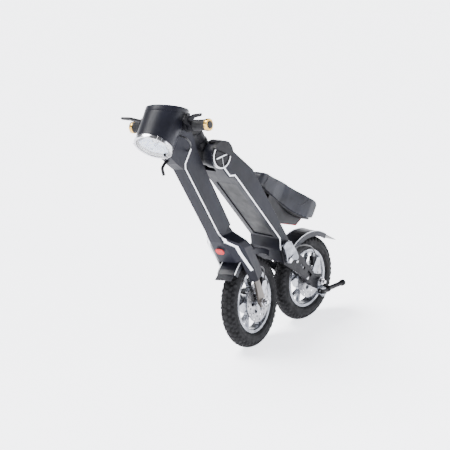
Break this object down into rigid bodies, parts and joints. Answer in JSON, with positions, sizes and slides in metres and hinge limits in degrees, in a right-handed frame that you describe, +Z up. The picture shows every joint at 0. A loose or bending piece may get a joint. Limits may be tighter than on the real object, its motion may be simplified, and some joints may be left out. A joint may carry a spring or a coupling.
{
  "type": "folding electric bicycle",
  "caption": "Small two-wheeled folding electric bicycle stored folded: two legs on a top hinge, big round headlight, padded saddle, fold-out foot pegs.",
  "frame": {"origin": "middle of the footprint box on the floor, under the folded bicycle", "axes": "+X forward, from the rear axle to the headlight, +Y to the rider's left, +Z up"},
  "size_m": [0.9886, 0.2944, 0.8706],
  "materials": {
    "frame_paint": "satin graphite powder coat on cast alloy",
    "black_metal": "matte black coat",
    "white_line": "white inlay",
    "cast_silver": "bare cast alloy",
    "steel": "plated steel",
    "disc_steel": "ground disc",
    "bronze_metal": "dark warm alloy",
    "gold_metal": "gold anodised",
    "black_plastic": "moulded",
    "fender_plastic": "satin moulded",
    "tyre": "moulded rubber",
    "grip_rubber": "soft",
    "cable_rubber": "cable jacket",
    "saddle_cover": "dark synthetic leather",
    "battery_case": "moulded",
    "lens_clear": "clear",
    "reflector": "bright",
    "bezel": "satin bright",
    "circuit_board": "emitter board"
  },
  "bodies": {
    "rear_frame": {"rear_leg_shell": "frame_paint", "battery_pack": "battery_case", "rear_leg_trim": "white_line", "hinge_covers": "black_plastic", "hinge_rings": "steel", "hinge_cowls": "black_metal", "fold_hinge_pin": "steel", "rear_side_plates": "black_metal", "rear_axle": "steel", "rear_fender": "fender_plastic", "rear_caliper": "black_metal", "rear_caliper_bracket": "cast_silver", "rear_brake_hose": "cable_rubber", "latch_bolt": "steel", "peg_brackets": "cast_silver", "rear_axle_nuts": "steel", "seat_mount": "black_metal"},
    "latch_lever": {"battery_latch_lever": "cast_silver"},
    "left_peg": {"left_foot_peg": "black_metal"},
    "right_peg": {"right_foot_peg": "black_metal"},
    "seat": {"saddle_cushion": "saddle_cover", "saddle_base": "black_plastic"},
    "rear_wheel": {"rear_tyre": "tyre", "rear_rim": "cast_silver", "rear_hub": "cast_silver", "rear_brake_disc": "disc_steel"},
    "neck": {"steering_neck": "black_metal"},
    "front_frame": {"front_leg_shell": "frame_paint", "front_leg_trim": "white_line", "front_dropouts": "bronze_metal", "front_axle": "steel", "front_axle_nuts": "steel", "front_fender": "fender_plastic", "front_caliper": "black_metal", "front_caliper_bracket": "cast_silver", "front_brake_hose": "cable_rubber", "steering_yoke": "black_metal", "headlight_housing": "frame_paint", "headlight_bezel": "bezel", "headlight_lens": "lens_clear", "headlight_reflector": "reflector", "headlight_board": "circuit_board", "headlight_cables": "cable_rubber", "handlebar_sleeve": "black_metal", "handlebar_clamps": "black_metal", "bag_hook": "black_metal"},
    "front_wheel": {"front_tyre": "tyre", "front_rim": "cast_silver", "front_hub": "cast_silver", "front_brake_disc": "disc_steel"},
    "left_bar": {"left_bar_tube": "black_metal", "left_grip": "grip_rubber", "left_grip_ring": "gold_metal", "left_lever_perch": "black_metal"},
    "left_lever": {"left_brake_lever": "black_metal"},
    "right_bar": {"right_bar_tube": "black_metal", "right_grip": "grip_rubber", "right_grip_ring": "gold_metal", "right_lever_perch": "black_metal"},
    "right_lever": {"right_brake_lever": "black_metal"}
  },
  "joints": [
    {"name": "fold", "type": "hinge", "parent": "rear_frame", "child": "neck", "pos_m": [0.1873, -0.01932, 0.692], "axis": [0, -1, 0], "range_deg": [0, 60]},
    {"name": "steer", "type": "hinge", "parent": "neck", "child": "front_frame", "pos_m": [0.1873, -0.01932, 0.692], "axis": [0.515, 0, 0.8572], "range_deg": [-38.5, 17.5]},
    {"name": "rear_wheel_spin", "type": "hinge", "parent": "rear_frame", "child": "rear_wheel", "pos_m": [-0.3307, -0.01932, 0.159], "axis": [0, 1, 0], "continuous": true},
    {"name": "front_wheel_spin", "type": "hinge", "parent": "front_frame", "child": "front_wheel", "pos_m": [0.00112, 0.00203, 0.15843], "axis": [-0.1562, 0.9833, 0.0939], "continuous": true},
    {"name": "seat_tilt", "type": "hinge", "parent": "rear_frame", "child": "seat", "pos_m": [-0.0527, -0.01932, 0.533], "axis": [0, 1, 0], "range_deg": [0, 28]},
    {"name": "left_peg_fold", "type": "hinge", "parent": "rear_frame", "child": "left_peg", "pos_m": [-0.3307, 0.07068, 0.124], "axis": [0, 0, -1], "range_deg": [0, 90]},
    {"name": "right_peg_fold", "type": "hinge", "parent": "rear_frame", "child": "right_peg", "pos_m": [-0.3307, -0.10932, 0.124], "axis": [0, 0, 1], "range_deg": [0, 90]},
    {"name": "latch_turn", "type": "hinge", "parent": "rear_frame", "child": "latch_lever", "pos_m": [-0.1407, 0.05868, 0.282], "axis": [0, 1, 0], "range_deg": [0, 60]},
    {"name": "left_bar_slide", "type": "slide", "parent": "front_frame", "child": "left_bar", "axis": [-0.1562, 0.9833, 0.0939], "range_m": [0, 0.048]},
    {"name": "right_bar_slide", "type": "slide", "parent": "front_frame", "child": "right_bar", "axis": [0.1562, -0.9833, -0.0939], "range_m": [0, 0.048]},
    {"name": "left_brake_squeeze", "type": "hinge", "parent": "left_bar", "child": "left_lever", "pos_m": [0.36933, 0.07813, 0.8264], "axis": [-0.6112, -0.1709, 0.7728], "range_deg": [0, 12], "stiffness_Nm_per_rad": 0.6},
    {"name": "right_brake_squeeze", "type": "hinge", "parent": "right_bar", "child": "right_lever", "pos_m": [0.39432, -0.07919, 0.81138], "axis": [0.6112, 0.1709, -0.7728], "range_deg": [0, 12], "stiffness_Nm_per_rad": 0.6}
  ]
}
